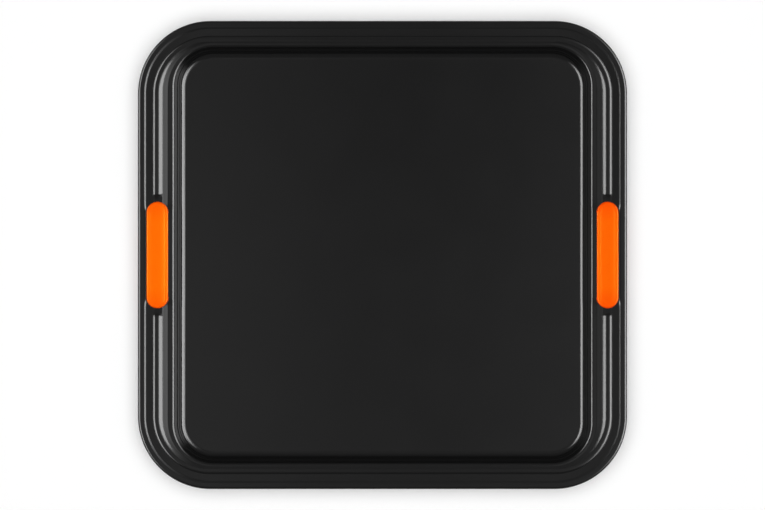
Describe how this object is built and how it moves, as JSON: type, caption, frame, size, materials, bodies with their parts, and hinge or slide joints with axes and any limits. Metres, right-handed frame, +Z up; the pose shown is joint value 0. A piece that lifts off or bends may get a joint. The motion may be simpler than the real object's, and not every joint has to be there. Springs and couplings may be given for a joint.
{
  "type": "cookie sheet",
  "caption": "Square insulated baking sheet with a shallow flat well, rounded corners, a beaded flange and a silicone grip let into each side.",
  "frame": {"origin": "middle of the flat underside, on the surface that the sheet stands on", "axes": "+X from the left grip to the right grip, +Y towards the back edge, +Z up out of the baking well"},
  "size_m": [0.397, 0.38, 0.0207],
  "materials": {
    "nonstick_steel": "satin black non-stick coating on pressed carbon steel",
    "orange_silicone": "matte moulded silicone rubber"
  },
  "bodies": {
    "root": {"baking_sheet": "nonstick_steel", "base_sheet": "nonstick_steel", "left_grip": "orange_silicone", "right_grip": "orange_silicone"}
  },
  "joints": []
}
